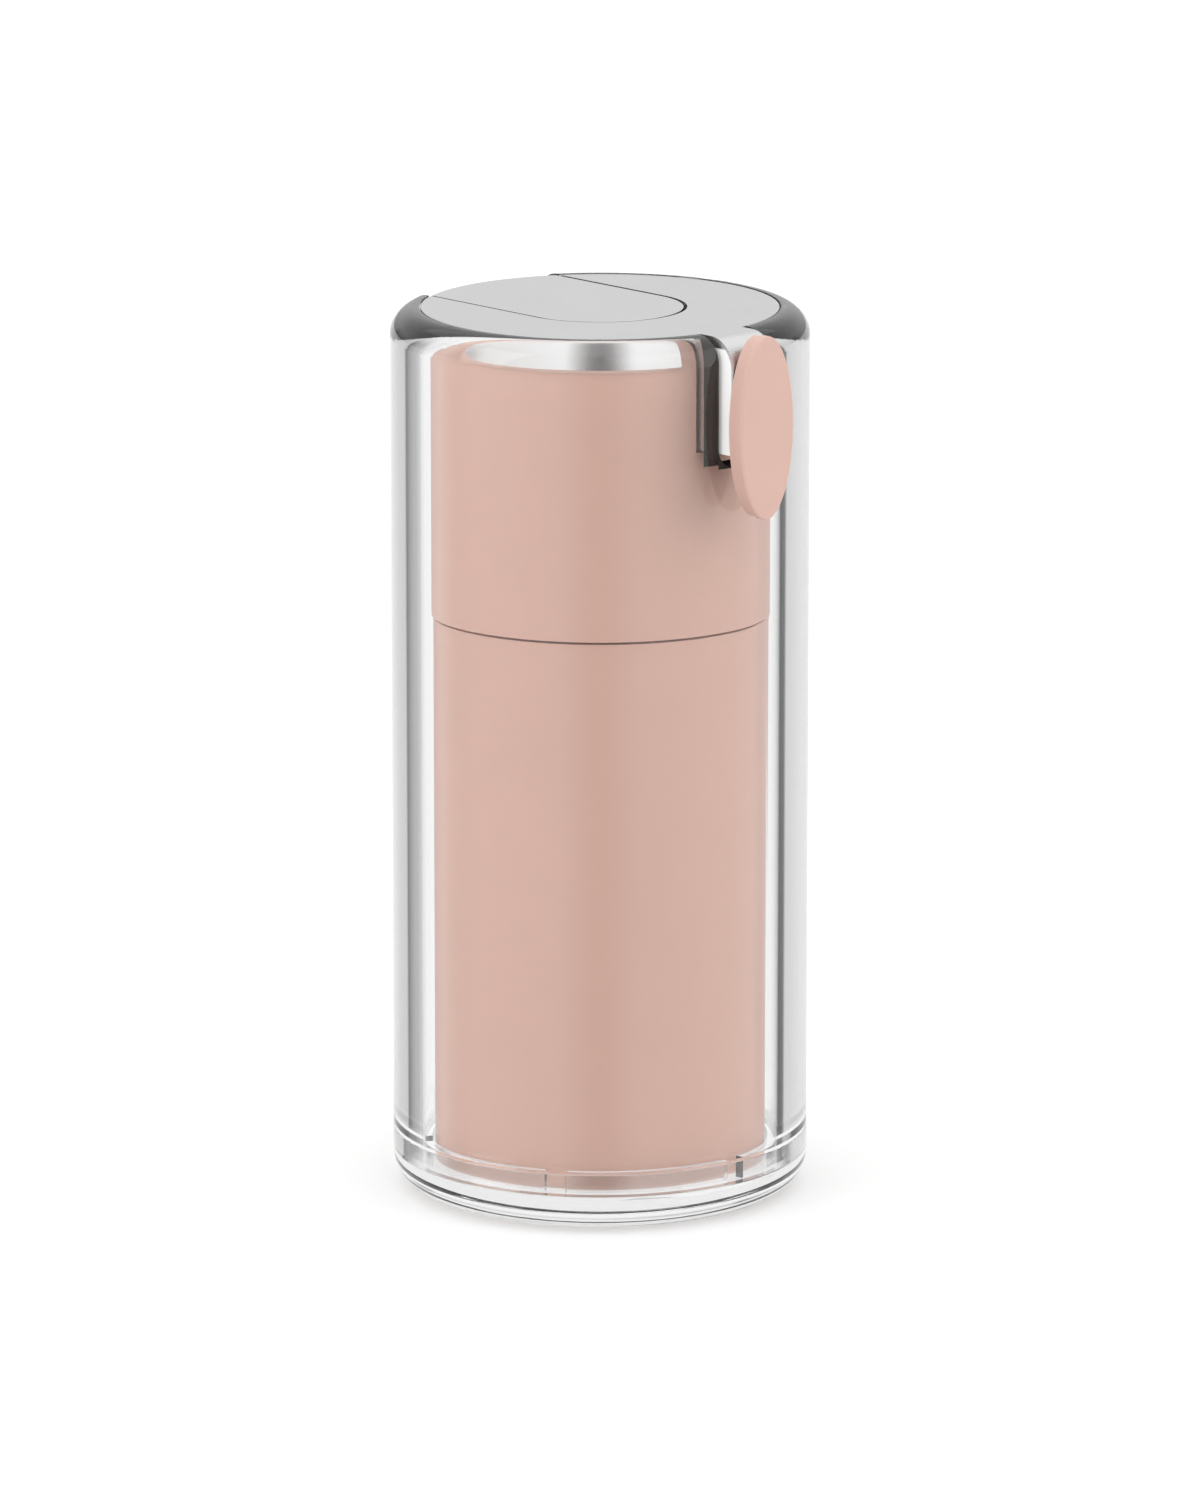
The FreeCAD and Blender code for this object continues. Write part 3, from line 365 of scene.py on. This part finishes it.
def makeFloor():
    cuts = paleFloor["cuts"]
    bpy.ops.mesh.primitive_grid_add(x_subdivisions=cuts, y_subdivisions=cuts, size=paleFloor["size"])
    floor = bpy.context.object
    floor.name = "studioFloor"
    material, tree, shader = newTree("paleFloor")
    tree.links.new(cloudColour(tree, paleFloor), shader.inputs["Base Color"])
    shader.inputs["Roughness"].default_value = paleFloor["roughness"]
    shader.inputs["Specular IOR Level"].default_value = 0.0
    place = addNode(tree, "ShaderNodeTexCoord")
    away = addNode(tree, "ShaderNodeVectorMath", operation="LENGTH")
    tree.links.new(place.outputs["Object"], away.inputs[0])
    growth = addRange(tree, away.outputs["Value"], paleFloor["glowReach"], paleFloor["glow"])
    path = addNode(tree, "ShaderNodeLightPath").outputs
    glow = addMath(tree, "MULTIPLY", lookedAt(tree, path), growth)
    shader.inputs["Emission Color"].default_value = (1, 1, 1, 1)
    tree.links.new(glow, shader.inputs["Emission Strength"])
    floor.data.materials.append(material)
    floor.visible_transmission = False


# soft white room with dark flags, which draw the dark lines in the clear wall and the silver ring
room = {
    # bearings in degrees from +X, anticlockwise, with the light seen there
    "stops": [
        (-180, 0.9), (-155, 1.0),  # the first and the last are one bearing
        (-140, 0.26), (-132, 0.14), (-125, 0.26),  # flag on the camera's side
        (-110, 1.0), (-40, 0.9), (-10, 0.8),
        (-3, 0.03), (4, 0.03),  # flag to the right
        (7, 0.58), (30, 0.68), (47, 0.70), (62, 0.52), (77.2, 0.52),
        (77.6, 0.01), (80, 0.06), (84, 0.24), (88, 0.35), (92, 0.44), (96, 0.6),  # flag to the left
        (102, 0.9), (118, 0.8), (132, 0.4), (146, 0.8), (180, 0.9),
    ],
    "flagHeight": -0.228,  # middle of the flags, as the upward share of a way into the room
    "flagFade": (0.18, 0.40),  # how far from that height the flags begin and end to fade
    "upperLevel": 0.92,  # plain room above and below the flags, and for light that only falls
    "behindLevel": 1.0,  # backdrop seen straight through both walls
    "wallsCrossed": 2.5,  # a way through more surfaces than this has gone on into the far wall
    "noBounce": 0.5,  # fewer bounces than this is none
}


def grey(level):
    return (level, level, level, 1)


def addFlags(tree, way):
    # the room's light by bearing, low down, and plain above and below
    bearing = addMath(tree, "ARCTAN2", way["Y"], way["X"])
    flags = addNode(tree, "ShaderNodeValToRGB")
    tree.links.new(addRange(tree, bearing, (-math.pi, math.pi), (0, 1)), flags.inputs["Fac"])
    bearings, lights = zip(*room["stops"])
    elements = flags.color_ramp.elements  # has its two ends already
    for degrees in bearings[1:-1]:
        elements.new((math.radians(degrees) + math.pi) / math.tau)
    for element, light in zip(elements, lights):
        element.color = grey(light)
    offHeight = addMath(tree, "ABSOLUTE", addMath(tree, "SUBTRACT", way["Z"], room["flagHeight"]))
    fade = addRange(tree, offHeight, room["flagFade"], (0, 1))
    return addMix(tree, "RGBA", fade, flags.outputs["Color"], grey(room["upperLevel"]))


def makeRoom():
    world = bpy.data.worlds.new("studioRoom")
    bpy.context.scene.world = world
    world.use_nodes = True
    tree = world.node_tree
    path = addNode(tree, "ShaderNodeLightPath").outputs
    flags = addFlags(tree, addAxes(tree, "Generated"))
    # straight through both walls the room reads as the pale backdrop
    deep = addMath(tree, "GREATER_THAN", path["Transmission Depth"], room["wallsCrossed"])
    bounces = addMath(tree, "ADD", path["Glossy Depth"], path["Diffuse Depth"])
    straight = allOf(tree, deep, addMath(tree, "LESS_THAN", bounces, room["noBounce"]))
    behind = addMix(tree, "RGBA", straight, flags, grey(room["behindLevel"]))
    # white where the camera sees it, and plain for the light that falls on the object
    seen = addMix(tree, "RGBA", path["Is Camera Ray"], behind, grey(1))
    lit = addMix(tree, "RGBA", lookedAt(tree, path), grey(room["upperLevel"]), seen)
    tree.links.new(lit, tree.nodes["Background"].inputs["Color"])


lampAim = Vector((0, 0, 0.05))  # about the middle of the bottle, in metres
# softboxes: bearing and height seen from there in degrees, distance and size in metres, watts
softboxes = {
    "leftBox": {"bearing": 160, "height": 25, "distance": 0.9, "size": (0.5, 0.9), "power": 2.1},
    "rightBox": {"bearing": -65, "height": 25, "distance": 0.9, "size": (0.5, 0.9), "power": 1.6},
    "frontBox": {"bearing": -108, "height": 40, "distance": 0.9, "size": (0.5, 0.5), "power": 0.5},
    "topBox": {"bearing": 47, "height": 78, "distance": 0.9, "size": (1.5, 1.5), "power": 2.6},
}


def makeLamp(name, box):
    lamp = bpy.data.lights.new(name, "AREA")
    lamp.shape = "RECTANGLE"
    lamp.size, lamp.size_y = box["size"]
    lamp.energy = box["power"]
    thing = bpy.data.objects.new(name, lamp)
    bpy.context.scene.collection.objects.link(thing)
    turn, tilt = math.radians(box["bearing"]), math.radians(box["height"])
    way = Vector((math.cos(turn) * math.cos(tilt), math.sin(turn) * math.cos(tilt), math.sin(tilt)))
    thing.location = lampAim + way * box["distance"]
    thing.rotation_euler = way.to_track_quat("Z", "Y").to_euler()


# the photograph's view: degrees from the spout and upward, metres, and millimetres for the lens
shot = {
    "azimuth": -42.5, "elevation": 13.2, "distance": 1.05, "aim": (0, 0, 0.04915),
    "lens": 228.2, "sensor": 36, "clip": (0.05, 50),
}


def makeCamera():
    camera = bpy.data.cameras.new("photoCamera")
    camera.sensor_fit = "AUTO"
    camera.sensor_width = shot["sensor"]
    camera.lens = shot["lens"]
    camera.clip_start, camera.clip_end = shot["clip"]
    thing = bpy.data.objects.new("photoCamera", camera)
    bpy.context.scene.collection.objects.link(thing)
    turn, tilt = math.radians(shot["azimuth"]), math.radians(shot["elevation"])
    back = Vector((math.sin(turn) * math.cos(tilt), -math.cos(turn) * math.cos(tilt), math.sin(tilt)))
    thing.location = Vector(shot["aim"]) + back * shot["distance"]
    thing.rotation_euler = back.to_track_quat("Z", "Y").to_euler()
    bpy.context.scene.camera = thing


makeFloor()
makeRoom()
for name, box in softboxes.items():
    makeLamp(name, box)
makeCamera()
bpy.context.scene.view_settings.view_transform = "Standard"
print("studio set with", len(softboxes), "softboxes")
